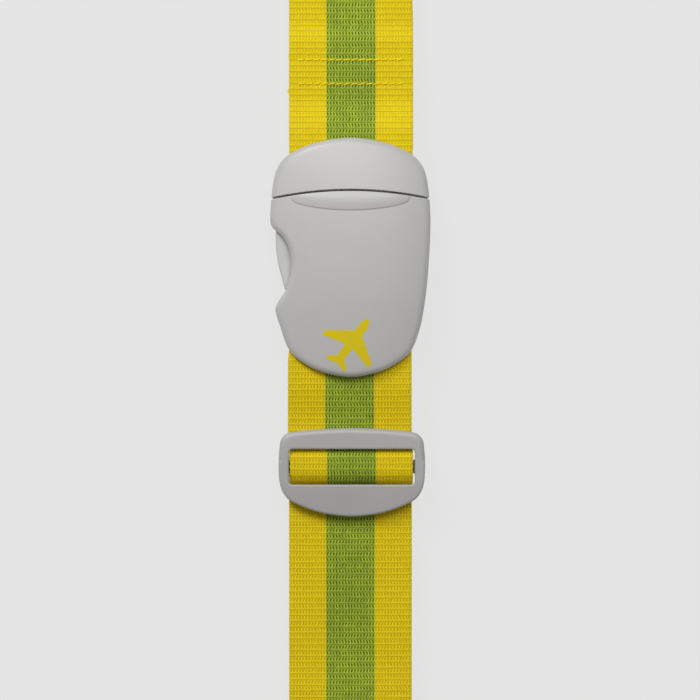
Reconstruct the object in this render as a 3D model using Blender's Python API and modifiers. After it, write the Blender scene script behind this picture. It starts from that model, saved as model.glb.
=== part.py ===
"""Luggage strap: 50 mm webbing, a side-release buckle and a tri-glide slider.

The strap lies flat, face up. +Y runs along the strap towards the buckle's tongue half, +Z is up, and
the origin is under the middle of the model, on the surface that it rests on. The length that isn't
in use is folded zigzag under the buckle, and one elastic band holds the folds.
"""
import math

import bmesh
import bpy
from mathutils import Matrix, Vector

# Webbing
WEB_WIDTH = 0.0504
WEB_THICK = 0.0015
GAP = 0.0003
PITCH = WEB_THICK + GAP
FOLDED_LAYERS = 5
HALF_LENGTH = 0.158
FOLD_RADIUS = PITCH / 2
FOLD_REACH = FOLD_RADIUS + WEB_THICK / 2

# Levels of the webbing's middle surface above the ground
BASE_LEVEL = WEB_THICK / 2 + FOLDED_LAYERS * PITCH
SECOND_LEVEL = BASE_LEVEL + PITCH
THIRD_LEVEL = SECOND_LEVEL + PITCH
HARDWARE_BACK = BASE_LEVEL - WEB_THICK / 2

# Storage band near the strap's far end
BAND_THICK = 0.0005
BAND_WIDTH = 0.0055
BAND_Y = -0.1488
BAND_LIFT = BAND_THICK + GAP
LIFT_START = -0.128
LIFT_END = -0.143

# Buckle
BUCKLE_BAR_THICK = 0.0035
BUCKLE_BAR_WIDTH = 0.0055
BUCKLE_TURN = BUCKLE_BAR_THICK / 2 + GAP + WEB_THICK / 2
BUCKLE_BAR_LEVEL = BASE_LEVEL + BUCKLE_TURN
FRONT_LEVEL = BASE_LEVEL + 2 * BUCKLE_TURN
HOUSING_BAR_Y = 0.0080
TONGUE_BAR_Y = 0.0740
SHELL_WALL = 0.0022
CROWN_CENTRE = Vector((0.0, 0.0380, -0.0005))
CROWN_RADII = Vector((0.052, 0.085, 0.026))
PARTING_RADIUS = 0.157
PARTING_CENTRE_Y = 0.0653 - PARTING_RADIUS
PARTING_GAP = 0.0004
LIP_LEVEL = FRONT_LEVEL + WEB_THICK / 2 + GAP
THUMB_PAD_HEIGHT = 0.0006

# Tongue and latch prong
BLADE_BOTTOM = 0.0120
BLADE_TOP = 0.0166
LATCH_PIVOT = Vector((-0.0257, 0.0660, 0.0))
PRONG_ROOT_RADIUS = 0.0058

# Slider
SLIDER_X = 0.0006
SLIDER_WEB_X = 0.0004
SLIDER_BAR_THICK = 0.0022
SLIDER_BAR_Y = (-0.0506, -0.0450)
SLIDER_TURN = SLIDER_BAR_THICK / 2 + GAP + WEB_THICK / 2
SLIDER_BAR_LEVEL = BASE_LEVEL + SLIDER_TURN
LOOP_LEVEL = BASE_LEVEL + 2 * SLIDER_TURN
HUMP_LEVEL = LOOP_LEVEL + PITCH
RAIL_BOTTOM = THIRD_LEVEL + WEB_THICK / 2 + GAP
RAIL_TOP = RAIL_BOTTOM + 0.0026
WINDOW_HALF_WIDTH = 0.0258
WINDOW_Y = (-0.0551, -0.0406)

# Where one webbing piece meets the next
TONGUE_SEAM_Y = 0.1200
SLIDER_SEAM_FRONT_Y = -0.0310
SLIDER_SEAM_BACK_Y = -0.0210
LOWER_SEAM_Y = -0.0720
WRAP_SEAM_Y = -0.1400
TAIL_END_Y = 0.1250

# Shoulders of the ramps in the webbing
HUMP_RISE_Y = (-0.0444, -0.0408)
HUMP_CREST_Y = -0.0480
HUMP_SILL_Y = -0.0551
HUMP_SILL_LEVEL = HUMP_LEVEL - 0.0046
HUMP_FOOT_Y = -0.0568
HUMP_FALL = 2.6
FRONT_RAMP_Y = -0.0130
LOOP_RAMP_Y = (-0.0452, -0.0416)
TAIL_RAMP_Y = (0.0885, 0.1040)
TAIL_COVER_Y = (0.1258, 0.1340)

# Stitching
STITCH_ROWS_Y = (0.1190, 0.1091)
SLIDER_STITCH_Y = -0.0235
STITCH_ROW_LENGTH = 0.0460
STITCH_WIDTH = 0.0006
STITCH_HEIGHT = 0.00035

# Half outlines, from the +Y end to the -Y end, in metres
BUCKLE_OUTLINE = (
    (0.0000, 0.0869), (0.0140, 0.0849), (0.0240, 0.0808), (0.0290, 0.0761), (0.0312, 0.0705),
    (0.0324, 0.0615), (0.0328, 0.0517), (0.0323, 0.0390), (0.0313, 0.0260), (0.0301, 0.0170),
    (0.0285, 0.0090), (0.0253, 0.0004), (0.0204, -0.0046), (0.0120, -0.0089), (0.0000, -0.0111),
)
SLIDER_OUTLINE = (
    (0.0000, -0.0319), (0.0130, -0.0324), (0.0248, -0.0336), (0.0287, -0.0362), (0.0296, -0.0400),
    (0.0300, -0.0463), (0.0296, -0.0541), (0.0278, -0.0590), (0.0240, -0.0624), (0.0130, -0.0666),
    (0.0000, -0.0682),
)
THUMB_PAD = (
    (-0.0250, 0.0700), (-0.0246, 0.0636), (-0.0245, 0.0624), (-0.0240, 0.0613), (-0.0228, 0.0602),
    (-0.0210, 0.0595), (-0.0180, 0.0587), (-0.0130, 0.0578), (-0.0070, 0.0572), (0.0000, 0.0569),
    (0.0070, 0.0572), (0.0130, 0.0578), (0.0180, 0.0587), (0.0210, 0.0595), (0.0228, 0.0602),
    (0.0240, 0.0613), (0.0245, 0.0624), (0.0246, 0.0636), (0.0250, 0.0700),
)
SIDE_NOTCH = (
    (-0.0400, 0.0512), (-0.0330, 0.0510), (-0.0301, 0.0490), (-0.0262, 0.0436), (-0.0241, 0.0385),
    (-0.0245, 0.0310), (-0.0264, 0.0246), (-0.0305, 0.0180), (-0.0400, 0.0165),
)


# ---------------------------------------------------------------- scene and materials

def empty_scene():
    for thing in list(bpy.data.objects):
        bpy.data.objects.remove(thing)
    for group in list(bpy.data.collections):
        bpy.data.collections.remove(group)


def new_collection(name):
    group = bpy.data.collections.new(name)
    bpy.context.scene.collection.children.link(group)
    return group


def material(name, colour, roughness):
    finish = bpy.data.materials.new(name)
    finish.use_nodes = True
    shader = finish.node_tree.nodes["Principled BSDF"]
    shader.inputs["Base Color"].default_value = (*colour, 1.0)
    shader.inputs["Roughness"].default_value = roughness
    shader.inputs["Metallic"].default_value = 0.0
    return finish


# ---------------------------------------------------------------- shapes

def smoothstep(t):
    t = min(max(t, 0.0), 1.0)
    return t * t * (3 - 2 * t)


def rounded_outline(half, steps=4):
    """A closed loop of points on a Catmull-Rom curve through the half outline and its mirror image."""
    corners = [Vector(p) for p in half] + [Vector((-x, y)) for x, y in reversed(half[1:-1])]
    count = len(corners)
    loop = []
    for i in range(count):
        a, b, c, d = (corners[(i + k) % count] for k in (-1, 0, 1, 2))
        for s in range(steps):
            t = s / steps
            loop.append(0.5 * (2 * b + (c - a) * t + (2 * a - 5 * b + 4 * c - d) * t ** 2
                               + (3 * b - a - 3 * c + d) * t ** 3))
    return loop


def inset_outline(loop, distance):
    """The loop moved inwards. The loop runs clockwise seen from above."""
    moved = []
    for i, point in enumerate(loop):
        along = (loop[(i + 1) % len(loop)] - loop[i - 1]).normalized()
        moved.append(point + distance * Vector((along.y, -along.x)))
    return moved


def link(thing, group, finish=None):
    for owner in list(thing.users_collection):
        owner.objects.unlink(thing)
    group.objects.link(thing)
    if finish:
        thing.data.materials.clear()
        thing.data.materials.append(finish)
    return thing


def as_cutter(thing):
    link(thing, CUTTERS)
    thing.hide_render = True
    thing.display_type = "WIRE"
    return thing


def mesh_of(curve_object):
    """The curve object as a welded mesh object in its place."""
    bpy.context.view_layer.update()
    graph = bpy.context.evaluated_depsgraph_get()
    mesh = bpy.data.meshes.new_from_object(curve_object.evaluated_get(graph))
    work = bmesh.new()
    work.from_mesh(mesh)
    bmesh.ops.remove_doubles(work, verts=work.verts, dist=0.000001)
    bmesh.ops.recalc_face_normals(work, faces=work.faces)
    work.to_mesh(mesh)
    work.free()
    name = curve_object.name
    place = curve_object.matrix_world.copy()
    bpy.data.objects.remove(curve_object)
    solid = bpy.data.objects.new(name, mesh)
    solid.matrix_world = place
    bpy.context.scene.collection.objects.link(solid)
    return solid


def plate(name, loop, bottom, top):
    """A flat outline in X and Y, filled between two heights."""
    curve = bpy.data.curves.new(name, "CURVE")
    curve.dimensions = "2D"
    curve.fill_mode = "BOTH"
    curve.extrude = (top - bottom) / 2
    spline = curve.splines.new("POLY")
    spline.points.add(len(loop) - 1)
    for point, place in zip(spline.points, loop):
        point.co = (place[0], place[1], 0.0, 1.0)
    spline.use_cyclic_u = True
    thing = bpy.data.objects.new(name, curve)
    thing.location.z = (top + bottom) / 2
    bpy.context.scene.collection.objects.link(thing)
    return mesh_of(thing)


def box(name, low, high):
    bpy.ops.mesh.primitive_cube_add(size=1.0)
    thing = bpy.context.object
    thing.name = name
    low = Vector(low)
    high = Vector(high)
    thing.data.transform(Matrix.Translation((low + high) / 2) @ Matrix.Diagonal((*(high - low), 1.0)))
    return thing


def cylinder(name, centre, radius, bottom, top, vertices=256):
    bpy.ops.mesh.primitive_cylinder_add(radius=radius, depth=top - bottom, vertices=vertices)
    thing = bpy.context.object
    thing.name = name
    thing.data.transform(Matrix.Translation((centre[0], centre[1], (top + bottom) / 2)))
    return thing


def combine(target, other, operation):
    """Apply a Boolean with the other object, which is then a cutter."""
    step = target.modifiers.new(operation.lower(), "BOOLEAN")
    step.operation = operation
    step.solver = "EXACT"
    step.object = as_cutter(other)
    bpy.context.view_layer.update()
    graph = bpy.context.evaluated_depsgraph_get()
    mesh = bpy.data.meshes.new_from_object(target.evaluated_get(graph))
    target.modifiers.clear()
    target.data = mesh
    return target


def round_bar(name, y_range, level, thickness, half_width, x_centre=0.0):
    """A bar across the strap with full round edges."""
    radius = thickness / 2
    outline = []
    for centre, first in ((y_range[1] - radius, -90), (y_range[0] + radius, 90)):
        for step in range(5):
            angle = math.radians(first + step * 45)
            outline.append((centre + radius * math.cos(angle), level + radius * math.sin(angle)))
    bar = plate(name, outline, x_centre - half_width, x_centre + half_width)
    turn = Matrix(((0, 0, 1, 0), (1, 0, 0, 0), (0, 1, 0, 0), (0, 0, 0, 1)))
    bar.data.transform(turn @ bar.matrix_world)
    bar.matrix_world = Matrix.Identity(4)
    return bar


# ---------------------------------------------------------------- webbing centre lines, as (y, z)

def layer_level(number):
    """Middle of a folded layer, counted from the ground."""
    return WEB_THICK / 2 + number * PITCH


def lift(y):
    """How far the webbing rises to let the band pass under it."""
    return BAND_LIFT * smoothstep((LIFT_START - y) / (LIFT_START - LIFT_END))


def straight(y_from, y_to, level):
    """A level run. Points are added where the band lifts it."""
    middle = [LIFT_START + k * (LIFT_END - LIFT_START) / 6 for k in range(7)]
    if y_from < y_to:
        middle.reverse()
    low, high = sorted((y_from, y_to))
    inner = [y for y in middle if low + GAP < y < high - GAP]
    return [(y, level + lift(y)) for y in (y_from, *inner, y_to)]


def ramp(y_from, z_from, y_to, z_to, steps=8):
    """A smooth change of level."""
    line = []
    for k in range(1, steps):
        t = k / steps
        line.append((y_from + t * (y_to - y_from), z_from + smoothstep(t) * (z_to - z_from)))
    return line


def turn(y, z, radius, first, last, steps=8):
    """Points inside an arc. Angles are in degrees from +Y towards +Z."""
    line = []
    for k in range(1, steps):
        angle = math.radians(first + k * (last - first) / steps)
        line.append((y + radius * math.cos(angle), z + radius * math.sin(angle)))
    return line


def hank_line():
    """From the seam under the tongue, down through the folds, and up round the far end."""
    wrap_radius = (BASE_LEVEL - layer_level(0)) / 2
    wrap_y = -HALF_LENGTH + wrap_radius + WEB_THICK / 2
    near_fold = HALF_LENGTH - FOLD_REACH
    far_fold = wrap_y + FOLD_REACH
    line = straight(TONGUE_SEAM_Y, far_fold, layer_level(4))
    line += turn(far_fold, layer_level(3) + FOLD_RADIUS + BAND_LIFT, FOLD_RADIUS, 90, 270)
    line += straight(far_fold, near_fold, layer_level(3))
    line += turn(near_fold, layer_level(2) + FOLD_RADIUS, FOLD_RADIUS, 90, -90)
    line += straight(near_fold, far_fold, layer_level(2))
    line += turn(far_fold, layer_level(1) + FOLD_RADIUS + BAND_LIFT, FOLD_RADIUS, 90, 270)
    line += straight(far_fold, near_fold, layer_level(1))
    line += turn(near_fold, layer_level(0) + FOLD_RADIUS, FOLD_RADIUS, 90, -90)
    line += straight(near_fold, wrap_y, layer_level(0))
    line += turn(wrap_y, layer_level(0) + wrap_radius + BAND_LIFT, wrap_radius, 270, 90, 14)
    line += straight(wrap_y, WRAP_SEAM_Y - GAP / 2, BASE_LEVEL)
    return line


def lower_run_line():
    return straight(WRAP_SEAM_Y + GAP / 2, LOWER_SEAM_Y - GAP / 2, BASE_LEVEL)


def slider_hump_line():
    """Under the slider's far rail, over its bar and under its near rail."""
    line = [(LOWER_SEAM_Y + GAP / 2, BASE_LEVEL), (HUMP_FOOT_Y, BASE_LEVEL)]
    for step in range(1, 6):
        t = step / 5
        line.append((HUMP_FOOT_Y + t * (HUMP_SILL_Y - HUMP_FOOT_Y),
                     BASE_LEVEL + t ** 2 * (HUMP_SILL_LEVEL - BASE_LEVEL)))
    for step in range(1, 8):
        t = step / 7
        line.append((HUMP_SILL_Y + t * (HUMP_CREST_Y - HUMP_SILL_Y),
                     HUMP_LEVEL + (1 - t) ** HUMP_FALL * (HUMP_SILL_LEVEL - HUMP_LEVEL)))
    line += [(HUMP_RISE_Y[0], HUMP_LEVEL)]
    line += ramp(HUMP_RISE_Y[0], HUMP_LEVEL, HUMP_RISE_Y[1], THIRD_LEVEL)
    line += [(HUMP_RISE_Y[1], THIRD_LEVEL), (SLIDER_SEAM_FRONT_Y - GAP / 2, THIRD_LEVEL)]
    return line


def adjuster_loop_line():
    """From the slider to the housing's bar, round it, and back underneath."""
    start = SLIDER_SEAM_FRONT_Y + GAP / 2
    turn_y = HOUSING_BAR_Y + BUCKLE_BAR_WIDTH - BUCKLE_BAR_THICK / 2
    line = [(start, THIRD_LEVEL)]
    line += ramp(start, THIRD_LEVEL, FRONT_RAMP_Y, FRONT_LEVEL)
    line += [(FRONT_RAMP_Y, FRONT_LEVEL), (turn_y, FRONT_LEVEL)]
    line += turn(turn_y, BUCKLE_BAR_LEVEL, BUCKLE_TURN, 90, -90)
    line += [(turn_y, BASE_LEVEL), (SLIDER_SEAM_BACK_Y + GAP / 2, BASE_LEVEL)]
    return line


def slider_loop_line():
    """The webbing's end, turned round the slider's bar and back over itself."""
    turn_y = SLIDER_BAR_Y[0] + SLIDER_BAR_THICK / 2
    end = SLIDER_SEAM_BACK_Y - GAP / 2
    line = [(end, BASE_LEVEL), (turn_y, BASE_LEVEL)]
    line += turn(turn_y, SLIDER_BAR_LEVEL, SLIDER_TURN, 270, 90)
    line += [(turn_y, LOOP_LEVEL), (LOOP_RAMP_Y[0], LOOP_LEVEL)]
    line += ramp(LOOP_RAMP_Y[0], LOOP_LEVEL, LOOP_RAMP_Y[1], SECOND_LEVEL)
    line += [(LOOP_RAMP_Y[1], SECOND_LEVEL), (end, SECOND_LEVEL)]
    return line


def upper_run_line():
    """The tail, round the tongue's bar, over the tail, along the strap and round the first fold."""
    turn_y = TONGUE_BAR_Y - BUCKLE_BAR_WIDTH + BUCKLE_BAR_THICK / 2
    fold_y = HALF_LENGTH - FOLD_REACH
    line = [(TAIL_END_Y, BASE_LEVEL), (turn_y, BASE_LEVEL)]
    line += turn(turn_y, BUCKLE_BAR_LEVEL, BUCKLE_TURN, 270, 90)
    line += [(turn_y, FRONT_LEVEL), (TAIL_RAMP_Y[0], FRONT_LEVEL)]
    line += ramp(TAIL_RAMP_Y[0], FRONT_LEVEL, TAIL_RAMP_Y[1], SECOND_LEVEL)
    line += [(TAIL_RAMP_Y[1], SECOND_LEVEL), (TAIL_COVER_Y[0], SECOND_LEVEL)]
    line += ramp(TAIL_COVER_Y[0], SECOND_LEVEL, TAIL_COVER_Y[1], BASE_LEVEL)
    line += [(TAIL_COVER_Y[1], BASE_LEVEL), (fold_y, BASE_LEVEL)]
    line += turn(fold_y, BASE_LEVEL - FOLD_RADIUS, FOLD_RADIUS, 90, -90)
    line += [(fold_y, layer_level(4)), (TONGUE_SEAM_Y + GAP, layer_level(4))]
    return line


def webbing(name, line, x_centre=0.0):
    """A ribbon along the line, solidified to the webbing's thickness."""
    curve = bpy.data.curves.new(name, "CURVE")
    curve.dimensions = "2D"
    curve.extrude = WEB_WIDTH / 2
    spline = curve.splines.new("POLY")
    spline.points.add(len(line) - 1)
    for point, place in zip(spline.points, line):
        point.co = (place[0], place[1], 0.0, 1.0)
    ribbon = bpy.data.objects.new(name, curve)
    ribbon.rotation_euler = (math.radians(90), 0.0, math.radians(90))
    ribbon.location.x = x_centre
    link(ribbon, STRAP, WEBBING)
    thickness = ribbon.modifiers.new("thickness", "SOLIDIFY")
    thickness.thickness = WEB_THICK
    thickness.offset = 0.0
    thickness.use_even_offset = True
    return ribbon


# ---------------------------------------------------------------- buckle

def crown(name, radii):
    """The ellipsoid whose top is the buckle's face."""
    bpy.ops.mesh.primitive_uv_sphere_add(segments=40, ring_count=28, radius=1.0)
    dome = bpy.context.object
    dome.name = name
    dome.data.transform(Matrix.Translation(CROWN_CENTRE) @ Matrix.Diagonal((*radii, 1.0)))
    return dome


def crowned_block(name, inset=0.0, bottom=HARDWARE_BACK):
    """The whole buckle's outline, filled up to its crowned face, or the same block moved inwards."""
    block = plate(name, inset_outline(rounded_outline(BUCKLE_OUTLINE), inset), bottom, 0.0300)
    radii = CROWN_RADII - Vector((inset, inset, inset))
    return combine(block, crown(name + "_crown", radii), "INTERSECT")


def hollow(shell):
    """Leave the crowned face and the side walls. The back and the parting side stay open."""
    return combine(shell, crowned_block(shell.name + "_core", SHELL_WALL, 0.0), "DIFFERENCE")


def webbing_slot(name, y_low, y_high):
    """A cutter that lets the webbing in under a shell's end wall."""
    half = WEB_WIDTH / 2 + GAP
    return box(name, (-half, y_low, 0.0), (half, y_high, LIP_LEVEL))


def housing_front_shell():
    shell = crowned_block("housing_front_shell")
    inside = cylinder("parting_inside", (0, PARTING_CENTRE_Y), PARTING_RADIUS - PARTING_GAP, 0, 0.05)
    combine(shell, inside, "INTERSECT")
    hollow(shell)
    combine(shell, webbing_slot("housing_slot", -0.020, 0.0110), "DIFFERENCE")
    combine(shell, plate("side_notch", SIDE_NOTCH, 0.0, 0.05), "DIFFERENCE")
    bar_range = (HOUSING_BAR_Y, HOUSING_BAR_Y + BUCKLE_BAR_WIDTH)
    bar = round_bar("housing_bar", bar_range, BUCKLE_BAR_LEVEL, BUCKLE_BAR_THICK, 0.0272)
    combine(shell, bar, "UNION")
    ledge = box("latch_ledge", (-0.0318, 0.0496, 0.0112), (-0.0284, 0.0580, 0.0176))
    combine(shell, ledge, "UNION")
    combine(shell, thumb_pad(), "UNION")
    return link(shell, STRAP, material("shell_grey", (0.56, 0.56, 0.55), 0.45))


def thumb_pad():
    """A thin raised crescent on the face, just below the parting line."""
    pad = plate("thumb_pad", THUMB_PAD, 0.0200, 0.0300)
    combine(pad, crown("thumb_pad_crown", CROWN_RADII + Vector((0.0, 0.0, THUMB_PAD_HEIGHT))), "INTERSECT")
    inside = cylinder("thumb_pad_extent", (0, PARTING_CENTRE_Y), PARTING_RADIUS - PARTING_GAP, 0, 0.05)
    return combine(pad, inside, "INTERSECT")


def housing_back_plate():
    """The cover that closes the housing's back, with a rib beside the prong and one beside the blade."""
    inner = inset_outline(rounded_outline(BUCKLE_OUTLINE), SHELL_WALL + GAP)
    back = plate("housing_back_plate", inner, HARDWARE_BACK, HARDWARE_BACK + 0.0018)
    combine(back, box("plate_extent", (-0.04, 0.0160, 0.0), (0.04, 0.0600, 0.03)), "INTERSECT")
    combine(back, plate("plate_notch", SIDE_NOTCH, 0.0, 0.05), "DIFFERENCE")
    for name, x in (("prong_rib", -0.0173), ("blade_rib", 0.0125)):
        rib = box(name, (x, 0.0200, HARDWARE_BACK + 0.0010), (x + 0.0014, 0.0560, 0.0160))
        combine(back, rib, "UNION")
    return link(back, STRAP, material("back_plate_grey", (0.54, 0.54, 0.53), 0.5))


def tongue_cap():
    cap = crowned_block("tongue_cap")
    outside = cylinder("parting_outside", (0, PARTING_CENTRE_Y), PARTING_RADIUS + PARTING_GAP, 0, 0.05)
    combine(cap, outside, "DIFFERENCE")
    hollow(cap)
    combine(cap, webbing_slot("cap_slot", 0.0740, 0.095), "DIFFERENCE")
    return link(cap, STRAP, material("cap_grey", (0.58, 0.58, 0.57), 0.42))


def tongue_body():
    """Cross web, centre blade, fixed guide arm, cheeks and the bar that holds the webbing."""
    web_y = (0.0614, 0.0662)
    body = box("tongue_body", (-0.0292, web_y[0], BLADE_BOTTOM), (0.0292, web_y[1], BLADE_TOP))
    blade = (
        (-0.0150, 0.0640), (-0.0150, 0.0340), (-0.0120, 0.0300), (0.0080, 0.0300), (0.0110, 0.0340),
        (0.0110, 0.0640),
    )
    arm = (
        (0.0225, 0.0640), (0.0225, 0.0270), (0.0240, 0.0250), (0.0262, 0.0256), (0.0276, 0.0300),
        (0.0285, 0.0450), (0.0292, 0.0640),
    )
    combine(body, plate("blade", blade, BLADE_BOTTOM + 0.0010, BLADE_TOP - 0.0010), "UNION")
    combine(body, plate("guide_arm", arm, BLADE_BOTTOM + 0.0003, BLADE_TOP - 0.0003), "UNION")
    for name, side in (("cheek_left", -1), ("cheek_right", 1)):
        x = sorted((side * 0.0256, side * 0.0273))
        cheek = box(name, (x[0], 0.0640, 0.0106), (x[1], 0.0744, 0.0158))
        combine(body, cheek, "UNION")
    bar_range = (TONGUE_BAR_Y - BUCKLE_BAR_WIDTH, TONGUE_BAR_Y)
    bar = round_bar("tongue_bar", bar_range, BUCKLE_BAR_LEVEL, BUCKLE_BAR_THICK, 0.0265)
    combine(body, bar, "UNION")
    return link(body, STRAP, material("tongue_grey", (0.55, 0.55, 0.54), 0.45))


def latch_prong():
    """The flexing arm. Its top edge is an arc about the pivot, so its gap to the web stays the same."""
    root = []
    for degrees in (-112, -101, -90, -79, -68):
        angle = math.radians(degrees)
        root.append((LATCH_PIVOT.x + PRONG_ROOT_RADIUS * math.cos(angle),
                     LATCH_PIVOT.y + PRONG_ROOT_RADIUS * math.sin(angle)))
    outline = [
        (-0.0279, 0.0500), (-0.0283, 0.0492), (-0.0308, 0.0491), (-0.0307, 0.0450), (-0.0303, 0.0400),
        (-0.0294, 0.0345), (-0.0284, 0.0298), (-0.0272, 0.0258), (-0.0258, 0.0247), (-0.0243, 0.0256),
        (-0.0232, 0.0330), (-0.0230, 0.0490),
    ]
    prong = plate("latch_prong", root[:1] + outline + root[:0:-1], BLADE_BOTTOM, BLADE_TOP)
    pivot = bpy.data.objects.new("latch_pivot", None)
    STRAP.objects.link(pivot)
    pivot.location = (LATCH_PIVOT.x, LATCH_PIVOT.y, prong.location.z)
    prong.parent = pivot
    prong.data.transform(Matrix.Translation((-LATCH_PIVOT.x, -LATCH_PIVOT.y, 0.0)))
    prong.location = (0.0, 0.0, 0.0)
    return link(prong, STRAP, material("prong_grey", (0.53, 0.53, 0.52), 0.45))


# ---------------------------------------------------------------- slider

def slider_frame():
    """A tri-glide: an outer frame over the webbing and a centre bar on two short legs."""
    outline = [(x + SLIDER_X, y) for x, y in rounded_outline(SLIDER_OUTLINE, 3)]
    frame = plate("slider_frame", outline, RAIL_BOTTOM, RAIL_TOP)
    left = SLIDER_X - WINDOW_HALF_WIDTH
    right = SLIDER_X + WINDOW_HALF_WIDTH
    window = box("slider_window", (left, WINDOW_Y[0], 0.0), (right, WINDOW_Y[1], 0.03))
    combine(frame, window, "DIFFERENCE")
    bar_bottom = SLIDER_BAR_LEVEL - SLIDER_BAR_THICK / 2
    for name, x in (("leg_left", left - 0.0027), ("leg_right", right)):
        leg = box(name, (x, -0.0520, bar_bottom), (x + 0.0027, -0.0436, RAIL_BOTTOM + 0.0010))
        combine(frame, leg, "UNION")
    bar = round_bar("slider_bar", SLIDER_BAR_Y, SLIDER_BAR_LEVEL, SLIDER_BAR_THICK,
                    WINDOW_HALF_WIDTH + 0.0010, SLIDER_X)
    combine(frame, bar, "UNION")
    return link(frame, STRAP, material("slider_grey", (0.36, 0.36, 0.36), 0.42))


# ---------------------------------------------------------------- stitching and band

def stitch_row(name, y):
    """One row of thread across the webbing, lying on the turned-back end's upper face."""
    half = STITCH_ROW_LENGTH / 2
    bottom = SECOND_LEVEL + WEB_THICK / 2 + GAP
    low = (-half, y - STITCH_WIDTH / 2, bottom)
    row = box(name, low, (half, y + STITCH_WIDTH / 2, bottom + STITCH_HEIGHT))
    return link(row, STRAP, THREAD)


def storage_band():
    """A flat elastic ring round all the layers."""
    half = WEB_WIDTH / 2 + GAP + BAND_THICK / 2
    low = BAND_THICK / 2
    high = BASE_LEVEL + WEB_THICK / 2 + BAND_LIFT + GAP + BAND_THICK / 2
    corner = 0.0012
    loop = []
    for x, z, first in ((half, high, 0), (-half, high, 90), (-half, low, 180), (half, low, 270)):
        centre_x = x - math.copysign(corner, x)
        centre_z = z - corner if z == high else z + corner
        for step in range(4):
            angle = math.radians(first + 30 * step)
            loop.append((centre_x + corner * math.cos(angle), centre_z + corner * math.sin(angle)))
    curve = bpy.data.curves.new("storage_band", "CURVE")
    curve.dimensions = "2D"
    curve.fill_mode = "NONE"
    curve.extrude = BAND_WIDTH / 2
    spline = curve.splines.new("POLY")
    spline.points.add(len(loop) - 1)
    for point, place in zip(spline.points, loop):
        point.co = (place[0], place[1], 0.0, 1.0)
    spline.use_cyclic_u = True
    band = bpy.data.objects.new("storage_band", curve)
    band.rotation_euler = (math.radians(90), 0.0, 0.0)
    band.location.y = BAND_Y
    link(band, STRAP, material("band_black", (0.03, 0.03, 0.03), 0.8))
    thickness = band.modifiers.new("thickness", "SOLIDIFY")
    thickness.thickness = BAND_THICK
    thickness.offset = 0.0
    return band


# ---------------------------------------------------------------- assembly

empty_scene()
STRAP = new_collection("luggage_strap")
CUTTERS = new_collection("cutters")
WEBBING = material("webbing_yellow_green", (0.72, 0.62, 0.05), 0.75)
THREAD = material("thread_yellow", (0.78, 0.66, 0.04), 0.6)

housing_front_shell()
housing_back_plate()
tongue_cap()
tongue_body()
latch_prong()
slider_frame()
webbing("webbing_hank", hank_line())
webbing("webbing_lower_run", lower_run_line())
webbing("webbing_slider_hump", slider_hump_line(), SLIDER_WEB_X)
webbing("webbing_slider_loop", slider_loop_line(), SLIDER_WEB_X)
webbing("webbing_adjuster_loop", adjuster_loop_line())
webbing("webbing_upper_run", upper_run_line())
stitch_row("stitch_row_tongue_end", STITCH_ROWS_Y[0])
stitch_row("stitch_row_tongue_near", STITCH_ROWS_Y[1])
stitch_row("stitch_row_slider", SLIDER_STITCH_Y)
storage_band()
CUTTERS.hide_viewport = True
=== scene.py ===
"""Looks of a luggage strap: woven webbing, a side-release buckle and a tri-glide slider."""
import math
import random

import bmesh
import bpy
import numpy as np
from mathutils import Matrix, Vector
from mathutils.geometry import delaunay_2d_cdt


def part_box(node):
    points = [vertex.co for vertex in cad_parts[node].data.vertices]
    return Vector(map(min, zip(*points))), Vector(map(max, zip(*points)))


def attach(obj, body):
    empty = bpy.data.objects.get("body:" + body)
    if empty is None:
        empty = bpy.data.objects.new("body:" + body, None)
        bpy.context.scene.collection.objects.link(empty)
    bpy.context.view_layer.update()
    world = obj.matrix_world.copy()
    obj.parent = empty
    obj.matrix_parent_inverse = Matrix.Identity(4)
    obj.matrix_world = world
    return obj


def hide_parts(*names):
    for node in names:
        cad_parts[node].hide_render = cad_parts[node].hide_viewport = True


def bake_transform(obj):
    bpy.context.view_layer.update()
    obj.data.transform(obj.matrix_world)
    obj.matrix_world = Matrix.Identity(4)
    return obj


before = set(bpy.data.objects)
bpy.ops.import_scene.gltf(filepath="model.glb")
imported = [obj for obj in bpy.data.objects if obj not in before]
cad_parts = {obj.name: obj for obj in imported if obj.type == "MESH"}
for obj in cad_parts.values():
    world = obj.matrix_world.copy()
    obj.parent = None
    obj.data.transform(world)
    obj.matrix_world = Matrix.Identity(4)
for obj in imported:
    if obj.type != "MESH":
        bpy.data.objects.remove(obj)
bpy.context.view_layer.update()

MM = 0.001
random.seed(7)

# ------------ sizes, in metres, as in the CAD

GAP = 0.3 * MM
WEB_THICK = 1.5 * MM
PITCH = WEB_THICK + GAP
FOLDED_LAYERS = 5
FOLD_RADIUS = PITCH / 2
FOLD_REACH = FOLD_RADIUS + WEB_THICK / 2
HALF_LENGTH = 158 * MM
WEB_HALF_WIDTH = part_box("webbing_hank")[1][0]

BASE_LEVEL = WEB_THICK / 2 + FOLDED_LAYERS * PITCH
SECOND_LEVEL = BASE_LEVEL + PITCH
THIRD_LEVEL = SECOND_LEVEL + PITCH
HARDWARE_BACK = BASE_LEVEL - WEB_THICK / 2
BUCKLE_TURN = 2.8 * MM
BUCKLE_BAR_LEVEL = BASE_LEVEL + BUCKLE_TURN
FRONT_LEVEL = BASE_LEVEL + 2 * BUCKLE_TURN
LIP_LEVEL = FRONT_LEVEL + WEB_THICK / 2 + GAP
HOUSING_TURN_Y = 11.75 * MM
TONGUE_TURN_Y = 70.25 * MM
SLIDER_TURN = 2.15 * MM
SLIDER_TURN_Y = -49.5 * MM
SLIDER_BAR_LEVEL = BASE_LEVEL + SLIDER_TURN
LOOP_LEVEL = BASE_LEVEL + 2 * SLIDER_TURN
HUMP_LEVEL = LOOP_LEVEL + PITCH
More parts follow.
